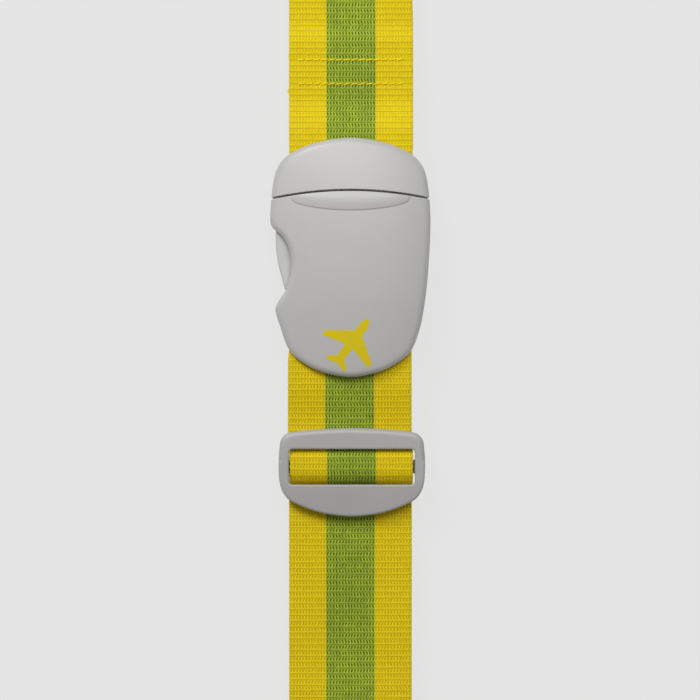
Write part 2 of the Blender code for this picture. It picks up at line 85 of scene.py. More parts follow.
HUMP_SILL_LEVEL = HUMP_LEVEL - 4.6 * MM
HUMP_CREST_Y = -48.0 * MM
HUMP_FALL_LENGTH = 7.1 * MM
HUMP_FOOT_Y = -56.8 * MM
HUMP_FOOT_LENGTH = 1.7 * MM
SLIDER_WEB_X = 0.4 * MM
ADJUSTER_WEB_X = -0.33 * MM
UPPER_WEB_X = 0.25 * MM

BAND_THICK = 0.5 * MM
BAND_LIFT = BAND_THICK + GAP
LIFT_START = -128 * MM
LIFT_END = -143 * MM

TONGUE_SEAM_Y = 120 * MM
SLIDER_SEAM_FRONT_Y = -31 * MM
SLIDER_SEAM_BACK_Y = -21 * MM
LOWER_SEAM_Y = -72 * MM
WRAP_SEAM_Y = -140 * MM
TAIL_END_Y = 125 * MM
STITCH_ROWS = (119.0 * MM, 109.1 * MM)
SLIDER_STITCH_Y = -23.5 * MM

STITCH_PITCH = 3.1 * MM
STITCH_MARGIN = 2.2 * MM
THREAD_RADIUS = 0.30 * MM

CROWN_CENTRE = Vector((0.0, 38.0, -0.5)) * MM
CROWN_RADII = Vector((52.0, 85.0, 26.0)) * MM
PARTING_RADIUS = 157 * MM
PARTING_TOP_Y = 65.3 * MM
PARTING_GAP = 0.4 * MM
PARTING_CENTRE_Y = PARTING_TOP_Y - PARTING_RADIUS
PARTING_RIM = 0.18 * MM
SHELL_WALL = 2.0 * MM
SHELL_RIM = 2.3 * MM
NOTCH_RIM = 1.0 * MM
NOTCH_DIP = 1.15 * MM
NOTCH_DIP_REACH = 1.8 * MM
NOTCH_FOOT = 17.6 * MM
PAD_STEP = 0.25 * MM
PAD_STEP_REACH = 0.32 * MM
PAD_SWELL = 0.50 * MM
PAD_SWELL_REACH = 5.0 * MM
PAD_FALL = 0.34 * MM
PAD_FALL_REACH = 4.5 * MM
PRONG_TOP = 17.2 * MM
BLADE_BOTTOM = 12.0 * MM
LIP_HALF_WIDTH = 31.7 * MM
LIP_DROP = 2.4 * MM
PRINT_RISE = 0.04 * MM
PRINT_SINK = 0.08 * MM

# Where the webbing passes an end wall, from low to high y
HOUSING_SLOT = (-30 * MM, 9 * MM)
CAP_SLOT = (74 * MM, 95 * MM)
SLOT_SIDE_GAP = 0.4 * MM

# Blocks moulded with the housing: low corner, high corner, edge radius
HOUSING_BAR = ((-27.2 * MM, 8.0 * MM, BUCKLE_BAR_LEVEL - 1.75 * MM),
               (27.2 * MM, 13.5 * MM, BUCKLE_BAR_LEVEL + 1.75 * MM), 1.6 * MM)
LATCH_LEDGE = ((-31.4 * MM, 49.6 * MM, 11.2 * MM), (-28.4 * MM, 58.0 * MM, 17.6 * MM), 0.3 * MM)

RAIL_THICK = 2.6 * MM
LOWER_RAIL_FALL = 1.4 * MM
UPPER_RAIL_FALL = 0.15 * MM
UPPER_RIM_DIP = 0.55 * MM
UPPER_RIM_REACH = 1.9 * MM
WINDOW_HALF = 25.8 * MM
WINDOW_Y = (-55.1 * MM, -40.6 * MM)
SLIDER_BAR_THICK = 2.2 * MM
SLIDER_BAR_Y = (-50.6 * MM, -45.0 * MM)
LUG_WIDTH = 2.7 * MM
LUG_Y = (-52.0 * MM, -43.6 * MM)

# Weave: ribs along the strap, columns of yarn across it
RIB = 2.4 * MM
COLUMN = 1.25 * MM
STRIPE_HALF_WIDTH = 10 * MM
GROOVE_DEPTH = 0.13 * MM
SLIT_DEPTH = 0.16 * MM
STITCH_DENT = 0.14 * MM
STITCH_DENT_REACH = 1.3 * MM
GROOVE_NARROWING = 0.009
EDGE_WANDER = 0.05 * MM
EDGE_WANDER_LENGTH = 21 * MM
SNAG_REACH = 1.0 * MM

# Yarn colours: a painted highlight, the usual colour, and painted shade deep between the yarns
YELLOWS = ((0.765, 0.63, 0.003), (0.665, 0.51, 0.003), (0.42, 0.215, 0.003))
GREENS = ((0.46, 0.57, 0.030), (0.22, 0.30, 0.024), (0.050, 0.088, 0.009))
# A darker tint, mixed in a little on the strap below the buckle
BELOW_BUCKLE_TINT = (0.06, 0.03, 0.01)

# Lights: place, size, power
KEY_LIGHT = ((-1.50, 2.30, 2.30), (1.4, 1.4), 61.0)
TOP_LIGHT = ((0.10, 0.80, 1.55), (1.60, 0.80), 15.8)
LIT_POINT = Vector((0, 0, 0.01))
FLOOR_GLOW = 0.72
WORLD_GLOW = 0.30

# Camera
VIEW_HALF = 143.5 * MM
VIEW_X = -0.16 * MM
VIEW_HEIGHT = 12 * MM
LENS = 300
SENSOR = 36

# Half outlines in millimetres, from the +Y end to the -Y end
BUCKLE_OUTLINE = (
    (0.0, 86.9), (14.0, 84.9), (24.0, 80.8), (29.0, 76.1), (31.2, 70.5), (32.4, 61.5), (32.8, 51.7),
    (32.3, 39.0), (31.3, 26.0), (30.1, 17.0), (28.5, 9.0), (25.3, 0.4), (20.4, -4.6), (12.0, -8.9),
    (0.0, -11.1),
)
SLIDER_OUTLINE = (
    (0.0, -31.9), (13.0, -32.4), (24.8, -33.6), (28.7, -36.2), (29.6, -40.0), (30.0, -46.3),
    (29.6, -54.1), (27.8, -59.0), (24.0, -62.4), (13.0, -66.6), (0.0, -68.2),
)
# Open lines in millimetres: the notch's edge, the thumb pad's lower edge and the prong
SIDE_NOTCH = (
    (-32.85, 52.4), (-32.3, 50.9), (-31.5, 49.6), (-30.5, 48.8), (-29.0, 47.5), (-27.3, 45.6),
    (-26.0, 43.4), (-24.9, 40.7), (-24.3, 37.3), (-24.2, 34.4), (-24.6, 30.9), (-25.3, 28.3),
    (-25.9, 26.2), (-26.7, 23.9), (-28.5, 21.3), (-30.1, 18.8), (-30.65, 17.1), (-30.5, 15.5),
    (-29.7, 12.4), (-28.62, 9.3),
)
PAD_LEFT = (
    (-24.6, 63.5), (-24.5, 62.4), (-24.0, 61.3), (-22.8, 60.2), (-21.0, 59.5), (-18.0, 58.7),
    (-13.0, 57.8), (-7.0, 57.2),
)
THUMB_PAD = (*PAD_LEFT, (0.0, 56.9), *((-x, y) for x, y in reversed(PAD_LEFT)))
PRONG = (
    (-28.6, 60.0), (-28.6, 51.0), (-29.3, 49.7), (-30.2, 49.1), (-30.6, 48.0), (-30.6, 45.0),
    (-30.4, 41.3), (-29.6, 35.5), (-28.6, 31.5), (-27.6, 27.6), (-26.9, 25.2), (-26.2, 24.4),
    (-25.1, 24.8), (-24.2, 26.4), (-23.3, 33.0), (-23.0, 49.0), (-23.4, 60.0),
)


# ------------ curves

def smoothstep(t):
    t = np.clip(t, 0.0, 1.0)
    return t * t * (3 - 2 * t)


def catmull_rom(a, b, c, d, t):
    return 0.5 * (2 * b + (c - a) * t + (2 * a - 5 * b + 4 * c - d) * t ** 2
                  + (3 * b - a - 3 * c + d) * t ** 3)


def as_array(points):
    return np.array([(p[0], p[1]) for p in points])


def mirrored_outline(half, steps=10):
    """A closed smooth loop through the half outline, in millimetres, and its mirror image."""
    corners = [Vector(p) * MM for p in half] + [Vector((-x, y)) * MM for x, y in reversed(half[1:-1])]
    count = len(corners)
    loop = []
    for i in range(count):
        a, b, c, d = (corners[(i + k) % count] for k in (-1, 0, 1, 2))
        loop += [catmull_rom(a, b, c, d, s / steps) for s in range(steps)]
    return as_array(loop)


def open_curve(points, steps=10):
    """A smooth open line through the points, in millimetres."""
    ends = [Vector(points[0]), *map(Vector, points), Vector(points[-1])]
    line = []
    for i in range(1, len(ends) - 2):
        a, b, c, d = (ends[i + k] * MM for k in (-1, 0, 1, 2))
        line += [catmull_rom(a, b, c, d, s / steps) for s in range(steps)]
    return as_array(line + [ends[-1] * MM])


def resampled(loop, spacing):
    """The closed loop at equal steps."""
    points = as_array(loop)
    closed = np.vstack([points, points[:1]])
    length = np.concatenate([[0], np.cumsum(np.hypot(*np.diff(closed, axis=0).T))])
    at = np.linspace(0, length[-1], max(8, round(length[-1] / spacing)), endpoint=False)
    return np.column_stack([np.interp(at, length, closed[:, 0]), np.interp(at, length, closed[:, 1])])


# ------------ webbing centre lines, as (y, z)

def layer_level(number):
    return WEB_THICK / 2 + number * PITCH


def lift(y):
    """How much higher the layers lie where the band passes under them."""
    return BAND_LIFT * float(smoothstep((LIFT_START - y) / (LIFT_START - LIFT_END)))


def straight(y_from, y_to, level):
    """A level run, with more points where the band lifts it."""
    middle = [LIFT_START + k * (LIFT_END - LIFT_START) / 12 for k in range(13)]
    if y_from < y_to:
        middle.reverse()
    low, high = sorted((y_from, y_to))
    inner = [y for y in middle if low + GAP < y < high - GAP]
    return [(y, level + lift(y)) for y in (y_from, *inner, y_to)]


def ramp(y_from, z_from, y_to, z_to, steps=20):
    """A smooth rise or fall, with both its ends."""
    line = []
    for k in range(steps + 1):
        t = k / steps
        line.append((y_from + t * (y_to - y_from), z_from + float(smoothstep(t)) * (z_to - z_from)))
    return line


def turn(y, z, radius, first, last, steps=18):
    """An arc round (y, z) between two angles in degrees, without its ends."""
    line = []
    for k in range(1, steps):
        angle = math.radians(first + k * (last - first) / steps)
        line.append((y + radius * math.cos(angle), z + radius * math.sin(angle)))
    return line


WRAP_RADIUS = (BASE_LEVEL - layer_level(0)) / 2
WRAP_Y = -HALF_LENGTH + WRAP_RADIUS + WEB_THICK / 2
NEAR_FOLD_Y = HALF_LENGTH - FOLD_REACH
FAR_FOLD_Y = WRAP_Y + FOLD_REACH


def slider_loop_line():
    """The strap's first end, over the slider's bar, round it and back underneath."""
    line = [(SLIDER_SEAM_BACK_Y, SECOND_LEVEL)]
    line += ramp(-41.6 * MM, SECOND_LEVEL, -45.2 * MM, LOOP_LEVEL)
    line += [(SLIDER_TURN_Y, LOOP_LEVEL)]
    line += turn(SLIDER_TURN_Y, SLIDER_BAR_LEVEL, SLIDER_TURN, 90, 270)
    return line + [(SLIDER_TURN_Y, BASE_LEVEL), (SLIDER_SEAM_BACK_Y, BASE_LEVEL)]


def adjuster_back_line():
    return [(SLIDER_SEAM_BACK_Y, BASE_LEVEL), (HOUSING_TURN_Y, BASE_LEVEL)]


def adjuster_front_line():
    """Round the housing's bar and forward to the slider."""
    line = [(HOUSING_TURN_Y, BASE_LEVEL)]
    line += turn(HOUSING_TURN_Y, BUCKLE_BAR_LEVEL, BUCKLE_TURN, -90, 90)
    line += [(HOUSING_TURN_Y, FRONT_LEVEL)]
    return line + ramp(-13 * MM, FRONT_LEVEL, SLIDER_SEAM_FRONT_Y, THIRD_LEVEL)


def slider_hump_line():
    """From the slider's front edge over its bar, down through the window and under the lower rail."""
    line = [(SLIDER_SEAM_FRONT_Y, THIRD_LEVEL)]
    line += ramp(-40.8 * MM, THIRD_LEVEL, -44.4 * MM, HUMP_LEVEL)
    line += [(HUMP_CREST_Y, HUMP_LEVEL)]
    for share in np.linspace(0, 1, 24)[1:]:
        line.append((HUMP_CREST_Y - HUMP_FALL_LENGTH * share,
                     HUMP_LEVEL + share ** 2.6 * (HUMP_SILL_LEVEL - HUMP_LEVEL)))
    for share in np.linspace(1, 0, 12)[1:]:
        line.append((HUMP_FOOT_Y + HUMP_FOOT_LENGTH * share,
                     BASE_LEVEL + share ** 2 * (HUMP_SILL_LEVEL - BASE_LEVEL)))
    return line + [(LOWER_SEAM_Y, BASE_LEVEL)]


def hank_line():
    """From the visible run's far end, round the outside, and up through the folds."""
    line = straight(WRAP_SEAM_Y, WRAP_Y, BASE_LEVEL)
    line += turn(WRAP_Y, layer_level(0) + WRAP_RADIUS + BAND_LIFT, WRAP_RADIUS, 90, 270, 40)
    y = WRAP_Y
    for low, high in ((layer_level(0), layer_level(1)), (layer_level(2), layer_level(3))):
        line += straight(y, NEAR_FOLD_Y, low)
        line += turn(NEAR_FOLD_Y, low + FOLD_RADIUS, FOLD_RADIUS, -90, 90)
        line += straight(NEAR_FOLD_Y, FAR_FOLD_Y, high)
        line += turn(FAR_FOLD_Y, high + FOLD_RADIUS + BAND_LIFT, FOLD_RADIUS, 270, 90)
        y = FAR_FOLD_Y
    return line + [(FAR_FOLD_Y, layer_level(4) + BAND_LIFT)]


def upper_run_line():
    """Round the fold, towards the buckle, up over the tail, round the tongue's bar, and the tail."""
    line = [(TONGUE_SEAM_Y, layer_level(4)), (NEAR_FOLD_Y, layer_level(4))]
    line += turn(NEAR_FOLD_Y, BASE_LEVEL - FOLD_RADIUS, FOLD_RADIUS, -90, 90)
    line += [(NEAR_FOLD_Y, BASE_LEVEL)]
    line += ramp(134 * MM, BASE_LEVEL, 125.8 * MM, SECOND_LEVEL)
    line += ramp(104 * MM, SECOND_LEVEL, 88.5 * MM, FRONT_LEVEL)
    line += [(TONGUE_TURN_Y, FRONT_LEVEL)]
    line += turn(TONGUE_TURN_Y, BUCKLE_BAR_LEVEL, BUCKLE_TURN, 90, 270)
    return line + [(TONGUE_TURN_Y, BASE_LEVEL), (TAIL_END_Y, BASE_LEVEL)]


# ------------ webbing mesh

def rib_height(s):
    """0 in the groove between two ribs, 1 along a rib."""
    return np.sin(np.pi * np.mod(s / RIB, 1.0)) ** 0.6


def slit_depth(x, s):
    """1 in the slanted slits between the warp yarns. The slant changes side from rib to rib."""
    row = np.floor(s / RIB)
    f = s / RIB - row
    side = np.mod(row, 2) * 2 - 1
    c = np.mod(x / COLUMN + 0.5 * side * (f - 0.5), 1.0)
    across = 1 - smoothstep((np.abs(c - 0.5) - 0.12) / 0.24)
    along = smoothstep((f - 0.06) / 0.2) * (1 - smoothstep((f - 0.62) / 0.26))
    return across * along


def webbing_profile(columns_front, columns_back):
    """A closed loop of (x, height share, side): the front from left to right, then the back."""
    edge = WEB_THICK / 2
    flat = WEB_HALF_WIDTH - edge
    front = [(x, 1.0, 1) for x in np.linspace(-flat, flat, columns_front)]
    back = [(x, -1.0, -1) for x in np.linspace(flat, -flat, columns_back)]
    right = []
    left = []
    for step in range(1, 6):
        angle = math.radians(90 - 30 * step)
        right.append((flat + edge * math.cos(angle), math.sin(angle), 0))
        left.append((-flat - edge * math.cos(angle), -math.sin(angle), 0))
    return front + right + back + left


def webbing(name, line, start, mesh_size, sway, dents, snags):
    """A strip of webbing along the line, and the distance at its end. start is its distance along
    the whole strap, and mesh_size the step along it and its columns in front and behind. sway gives
    the shift sideways and the stretch in width at each (y, z), dents are the y of stitch rows that
    pull it in, and snags are (y, size) of small loops of yarn on its left edge."""
    spacing, columns_front, columns_back = mesh_size
    points = []
    for (y0, z0), (y1, z1) in zip(line, line[1:]):
        steps = max(1, math.ceil(math.hypot(y1 - y0, z1 - z0) / spacing))
        points += [(y0 + (y1 - y0) * k / steps, z0 + (z1 - z0) * k / steps) for k in range(steps)]
    points = np.array(points + [line[-1]])
    length = np.concatenate([[0], np.cumsum(np.hypot(*np.diff(points, axis=0).T))])
    tangent = np.gradient(points, length, axis=0)
    tangent /= np.linalg.norm(tangent, axis=1, keepdims=True)
    normal = np.column_stack([tangent[:, 1], -tangent[:, 0]])
    s = (start + length)[:, None]
    profile = webbing_profile(columns_front, columns_back)
    x, share, side = (np.array(column)[None, :] for column in zip(*profile))
    rib = rib_height(s)
    height = WEB_THICK / 2 * share
    height = height - share * GROOVE_DEPTH * (1 - rib)
    height = height - np.where(side == 1, slit_depth(x, s) * SLIT_DEPTH, 0)
    for y in dents:
        near = np.exp(-((points[:, 0] - y) / STITCH_DENT_REACH) ** 2)[:, None]
        height = height - np.where(side == 1, STITCH_DENT * near, 0)
    wander = EDGE_WANDER * np.sin(s / EDGE_WANDER_LENGTH)
    wide = x * (1 - GROOVE_NARROWING * (1 - rib)) + wander * np.sign(x)
    for y, size in snags:
        near = np.clip(1 - np.abs(points[:, :1] - y) / SNAG_REACH, 0, 1)
        near = near * (points[:, 1:] > SECOND_LEVEL - PITCH / 2)
        wide = wide - size * near * smoothstep((-x / WEB_HALF_WIDTH - 0.96) / 0.04)
    shift, stretch = sway(points)
    wide = wide * stretch[:, None] + shift[:, None]
    count = x.shape[1]
    rows = len(points)
    places = np.empty((rows, count, 3))
    places[:, :, 0] = wide
    places[:, :, 1] = points[:, :1] + normal[:, :1] * height
    places[:, :, 2] = points[:, 1:] + normal[:, 1:] * height
    first = (np.arange(rows - 1)[:, None] * count + np.arange(count)[None, :]).ravel()
    ahead = (np.arange(rows - 1)[:, None] * count + (np.arange(count)[None, :] + 1) % count).ravel()
    quads = np.column_stack([first, first + count, ahead + count, ahead])
    faces = quads.tolist()
    faces.append(list(range(count)))
    faces.append([rows * count - 1 - k for k in range(count)])
    mesh = bpy.data.meshes.new(name)
    mesh.from_pydata(places.reshape(-1, 3).tolist(), [], faces)
    along = np.repeat(s, count, axis=1).ravel()
    across = np.repeat(x, rows, axis=0).ravel()
    corner = np.empty(len(mesh.loops), int)
    mesh.loops.foreach_get("vertex_index", corner)
    layer = mesh.uv_layers.new(name="weave")
    layer.data.foreach_set("uv", np.column_stack([across[corner] / COLUMN, along[corner] / RIB]).ravel())
    mesh.shade_smooth()
    mesh.update()
    strip = placed(name, mesh)
    fix_normals(strip)
    return strip, start + length[-1]


def placed(name, data):
    thing = bpy.data.objects.new(name, data)
    bpy.context.scene.collection.objects.link(thing)
    return thing


def fix_normals(thing):
    work = bmesh.new()
    work.from_mesh(thing.data)
    bmesh.ops.recalc_face_normals(work, faces=work.faces)
    work.to_mesh(thing.data)
    work.free()


# ------------ node trees

class Tree:
    """Short names for building a material's nodes."""

    def __init__(self, name):
        self.material = bpy.data.materials.new(name)
        self.material.use_nodes = True
        self.nodes = self.material.node_tree.nodes
        self.links = self.material.node_tree.links
        self.shader = self.nodes["Principled BSDF"]

    def put(self, socket, value):
        if hasattr(value, "is_linked"):
            self.links.new(value, socket)
        elif isinstance(value, tuple) and len(value) == 3 and socket.type == "RGBA":
            socket.default_value = (*value, 1.0)
        else:
            socket.default_value = value

    def math(self, operation, a, b=0.5, c=0.5, clamp=False):
        node = self.nodes.new("ShaderNodeMath")
        node.operation = operation
        node.use_clamp = clamp
        for socket, value in zip(node.inputs, (a, b, c)):
            self.put(socket, value)
        return node.outputs[0]

    def scale(self, value, factor, add):
        return self.math("MULTIPLY_ADD", value, factor, add)

    def times(self, a, b):
        return self.math("MULTIPLY", a, b)

    def rise(self, value, low, high, to_low=0.0, to_high=1.0):
        """Smooth step of the value from low to high."""
        node = self.nodes.new("ShaderNodeMapRange")
        node.interpolation_type = "SMOOTHSTEP"
        for socket, number in zip(node.inputs, (value, low, high, to_low, to_high)):
            self.put(socket, number)
        return node.outputs[0]

    def mix(self, factor, a, b, blend="MIX"):
        node = self.nodes.new("ShaderNodeMix")
        node.data_type = "RGBA"
        node.blend_type = blend
        self.put(node.inputs["Factor"], factor)
        self.put(node.inputs[6], a)
        self.put(node.inputs[7], b)
        return node.outputs[2]

    def noise(self, vector, scale, detail=2.0, roughness=0.5):
        node = self.nodes.new("ShaderNodeTexNoise")
        if vector is not None:
            self.put(node.inputs["Vector"], vector)
        self.put(node.inputs["Scale"], scale)
        self.put(node.inputs["Detail"], detail)
        self.put(node.inputs["Roughness"], roughness)
        return node.outputs["Fac"]

    def object_place(self):
        return self.nodes.new("ShaderNodeTexCoord").outputs["Object"]

    def combine(self, x, y, z=0.0):
        node = self.nodes.new("ShaderNodeCombineXYZ")
        for socket, value in zip(node.inputs, (x, y, z)):
            self.put(socket, value)
        return node.outputs[0]

    def bump(self, height, distance, strength=1.0):
        node = self.nodes.new("ShaderNodeBump")
        self.put(node.inputs["Height"], height)
        self.put(node.inputs["Distance"], distance)
        self.put(node.inputs["Strength"], strength)
        self.links.new(node.outputs[0], self.shader.inputs["Normal"])

    def finish(self, **values):
        for name, value in values.items():
            self.put(self.shader.inputs[name.replace("_", " ")], value)
        return self.material


def webbing_material():
    """Ribbed weave: slanted warp floats in rows, grooves between rows, and three stripes."""
    t = Tree("woven_webbing")
    uv = t.nodes.new("ShaderNodeUVMap")
    uv.uv_map = "weave"
    split = t.nodes.new("ShaderNodeSeparateXYZ")
    t.links.new(uv.outputs[0], split.inputs[0])
    u, v = split.outputs[0], split.outputs[1]
    row = t.math("FLOOR", v)
    f = t.math("FRACT", v)
    side = t.scale(t.math("MODULO", row, 2.0), 2.0, -1.0)
    middle = t.math("SUBTRACT", f, 0.5)
    wander = t.scale(t.noise(t.combine(u, row), 0.9, 1.0), 0.2, -0.1)
    shift = t.scale(t.times(side, middle), 0.5, wander)
    slanted = t.math("ADD", u, shift)
    c = t.math("FRACT", t.math("ADD", slanted, 1000.0))
    off = t.math("ABSOLUTE", t.math("SUBTRACT", c, 0.5))
    across = t.rise(off, 0.12, 0.36, 1.0, 0.0)
    along = t.times(t.rise(f, 0.10, 0.30), t.rise(f, 0.58, 0.84, 1.0, 0.0))
    slit = t.times(across, along)
    edge = t.math("MINIMUM", f, t.math("SUBTRACT", 1.0, f))
    groove = t.rise(edge, 0.0, 0.16, 1.0, 0.0)
    filament = t.noise(t.combine(t.times(slanted, 9.0), t.times(v, 1.3)), 1.0, 2.0)
    yarn = t.noise(t.combine(t.math("FLOOR", slanted), t.times(row, 1.7)), 0.7, 0.0)
    cloud = t.noise(t.combine(u, v), 0.06, 2.0)

    stripe_edge = STRIPE_HALF_WIDTH / COLUMN
    green = t.rise(t.math("ABSOLUTE", u), stripe_edge - 0.06, stripe_edge + 0.06, 1.0, 0.0)
    # light is a painted highlight colour, mid the usual yarn colour, and deep a painted shade colour
    light, mid, deep = (t.mix(green, *pair) for pair in zip(YELLOWS, GREENS))
    tone_and_highlight = t.scale(t.math("SUBTRACT", filament, 0.5), 0.8, 0.22)
    # Painted highlight: the middle of each row, away from the grooves, is lighter
    tone_and_highlight = t.scale(along, 0.42, tone_and_highlight)
    tone_and_highlight = t.math("ADD", tone_and_highlight, t.times(t.math("SUBTRACT", yarn, 0.5), 0.8))
    tone_and_highlight = t.math("ADD", tone_and_highlight, t.times(t.math("SUBTRACT", cloud, 0.5), 0.8), clamp=True)
    colour = t.mix(tone_and_highlight, mid, light)
    # The strap's first 1.4 m, all of it below the buckle, is a little darker and has stronger painted shade
    # in its yellow slits
    used = t.rise(v, 600.0, 700.0, 1.0, 0.0)
    slit_shade = t.times(slit, t.scale(green, 0.32, 0.60))
    green_or_below_buckle = t.math("MAXIMUM", green, used)
    slit_shade_strength = t.scale(green_or_below_buckle, 0.42, 0.66)
    slit_shade = t.math("MULTIPLY", slit_shade, slit_shade_strength, clamp=True)
    groove_shade = t.times(groove, t.scale(green, -0.08, 0.64))
    # Painted shade: the slits and the grooves between rows are darkened towards the deep colour
    colour = t.mix(t.math("MAXIMUM", slit_shade, groove_shade), colour, deep)
    colour = t.mix(t.times(used, 0.045), colour, BELOW_BUCKLE_TINT)
    height = t.scale(filament, 0.18, t.math("SUBTRACT", 1.0, slit))
    t.bump(height, 0.00014, 0.8)
    rough = t.scale(filament, 0.2, 0.5)
    return t.finish(Base_Color=colour, Roughness=rough, Sheen_Weight=0.03, Sheen_Roughness=0.5,
                    Specular_IOR_Level=0.12)


def plastic_material(name, colour, darker, roughness):
    """Satin moulded plastic: a very fine grain, faint flow marks and a few light scuffs."""
    t = Tree(name)
    place = t.object_place()
    flow = t.noise(place, 45.0, 3.0, 0.5)
    grain = t.noise(place, 5200.0, 2.0, 0.6)
    scuff = t.rise(t.noise(place, 420.0, 5.0, 0.7), 0.62, 0.74)
    base = t.mix(flow, darker, colour)
    t.bump(grain, 0.000012, 0.5)
    rough = t.scale(flow, 0.1, roughness)
    rough = t.math("ADD", rough, t.times(scuff, 0.1))
    return t.finish(Base_Color=base, Roughness=rough, Specular_IOR_Level=0.60)


def grained_material(name, noise, colours, bump, rough, **values):
    """One noise gives the colour, the relief and the roughness."""
    t = Tree(name)
    grain = t.noise(t.object_place(), *noise)
    colour = t.mix(grain, *colours)
    if bump:
        t.bump(grain, *bump)
    return t.finish(Base_Color=colour, Roughness=t.scale(grain, *rough), **values)


# ------------ moulded pieces

def distance_to(points, loop, closed=True):
    """Each point's distance to the polyline."""
    a = np.asarray(loop)
    b = np.roll(a, -1, axis=0)
    if not closed:
        a, b = a[:-1], b[:-1]
    ab = b - a
    size = np.maximum((ab ** 2).sum(axis=1), 1e-18)
    nearest = np.full(len(points), np.inf)
    for first in range(0, len(points), 1000):
        p = points[first:first + 1000, None, :]
        t = np.clip(((p - a) * ab).sum(axis=2) / size, 0, 1)
        gap = np.linalg.norm(p - (a + t[:, :, None] * ab), axis=2)
        nearest[first:first + 1000] = gap.min(axis=1)
    return nearest


def inside(points, loop):
    """Whether each point is inside the closed loop."""
    a = np.asarray(loop)
    b = np.roll(a, -1, axis=0)
    found = np.zeros(len(points), bool)
    for (x0, y0), (x1, y1) in zip(a, b):
        if y0 == y1:
            continue
        hit = (points[:, 1] < y0) != (points[:, 1] < y1)
        cross = x0 + (points[:, 1] - y0) * (x1 - x0) / (y1 - y0)
        found ^= hit & (points[:, 0] < cross)
    return found


def rim_drop(distance, radius):
    """How far a rounded rim of that radius falls, at a distance in from the edge."""
    short = np.clip(1 - distance / radius, 0, 1)
    return radius * (1 - np.sqrt(1 - short ** 2))


RING_STEPS = (0.06, 0.2, 0.42, 0.75, 1.2, 1.75, 2.4)
FEATURE_STEPS = (0.0, 0.12, -0.12, 0.3, -0.3, 0.6, -0.6)


def normals_2d(line, closed=True):
    """Unit vectors to the right of the line's direction."""
    if closed:
        along = np.roll(line, -1, axis=0) - np.roll(line, 1, axis=0)
    else:
        along = np.gradient(line, axis=0)
    along = along / np.linalg.norm(along, axis=1, keepdims=True)
    return np.column_stack([along[:, 1], -along[:, 0]])


def within(points, loops):
    """Whether each point is inside the first loop and outside the others."""
    ok = inside(points, loops[0])
    for hole in loops[1:]:
        ok &= ~inside(points, hole)
    return ok


def moved_inwards(loop, distance):
    for direction in (1, -1):
        moved = loop + direction * distance * normals_2d(loop)
        moved = moved[inside(moved, loop)]
        if len(moved) > len(loop) / 2:
            break
    return resampled(moved[distance_to(moved, loop) > 0.97 * distance], 0.9 * MM)


def flat_fill(loops, spacing, features=()):
    """Points and triangles that fill the first loop outside the others. With a spacing they are
    dense along every edge and along the features, which are open lines."""
    kept = [np.vstack(loops)]
    if spacing:
        for line in features:
            right = normals_2d(line, closed=False)
            for step in FEATURE_STEPS:
                extra = line + step * MM * right
                extra = extra[within(extra, loops)]
                gap = np.min([distance_to(extra, loop) for loop in loops], axis=0)
                kept.append(extra[gap > 0.35 * MM])
        for loop in loops:
            right = normals_2d(loop)
            for step in RING_STEPS:
                for direction in (1, -1):
                    extra = loop + direction * step * MM * right
                    extra = extra[within(extra, loops)]
                    gap = np.min([distance_to(extra, other) for other in loops], axis=0)
                    extra = extra[gap > step * MM * 0.93]
                    for line in features:
                        extra = extra[distance_to(extra, line, closed=False) > 0.8 * MM]
                    kept.append(extra)
        low, high = kept[0].min(axis=0), kept[0].max(axis=0)
        across = np.arange(low[0], high[0], spacing)
        up = np.arange(low[1], high[1], spacing * 0.866)
        grid = np.array([(x + (k % 2) * spacing / 2, y) for k, y in enumerate(up) for x in across])
        grid = grid[within(grid, loops)]
        for loop in loops:
            grid = grid[distance_to(grid, loop) > (RING_STEPS[-1] + 0.5) * MM]
        for line in features:
            grid = grid[distance_to(grid, line, closed=False) > 1.0 * MM]
        kept.append(grid)
    points = np.vstack(kept)
    edges = []
    first = 0
    for loop in loops:
        edges += [(first + k, first + (k + 1) % len(loop)) for k in range(len(loop))]
        first += len(loop)
    scaled = [Vector(p / MM) for p in points]
    made, _, faces, _, _, _ = delaunay_2d_cdt(scaled, edges, [], 0, 1e-6)
    made = np.array([(p.x, p.y) for p in made]) * MM
    middles = np.array([made[list(face)].mean(axis=0) for face in faces])
    return made, [tuple(face) for face, good in zip(faces, within(middles, loops)) if good]


def border_of(faces):
    """The directed edges that only one face has."""
    directed = {(a, b) for face in faces for a, b in zip(face, face[1:] + face[:1])}
    return [(a, b) for a, b in directed if (b, a) not in directed]


def shade(mesh):
    mesh.shade_smooth()
    mesh.set_sharp_from_angle(angle=math.radians(50))


class Sheets:
    """Separate surfaces that are welded into one closed mesh where they meet."""

    def __init__(self):
        self.verts = []
        self.faces = []

    def add(self, places, faces):
        first = len(self.verts)
        self.verts += [tuple(place) for place in places]
        self.faces += [tuple(first + k for k in face) for face in faces]

    def surface(self, points, faces, heights):
        self.add(np.column_stack([points, heights]), faces)

    def wall(self, points, edges, high, low, steps):
        """Upright faces under the border edges, from the heights high to low."""
        used = sorted({k for edge in edges for k in edge})
        at = {k: n for n, k in enumerate(used)}
        places = []
        for step in range(steps + 1):
            share = step / steps
            places += [(points[k][0], points[k][1], high[k] + (low[k] - high[k]) * share) for k in used]
        count = len(used)
        faces = []
        for a, b in edges:
            for step in range(steps):
                i, j = step * count, (step + 1) * count
                faces.append((at[b] + i, at[a] + i, at[a] + j, at[b] + j))
        self.add(places, faces)

    def build(self, name, material):
        mesh = bpy.data.meshes.new(name)
        mesh.from_pydata(self.verts, [], self.faces)
        work = bmesh.new()
        work.from_mesh(mesh)
        bmesh.ops.remove_doubles(work, verts=work.verts, dist=1e-6)
        bmesh.ops.recalc_face_normals(work, faces=work.faces)
        work.to_mesh(mesh)
        work.free()
        mesh.materials.append(material)
        shade(mesh)
        return placed(name, mesh)


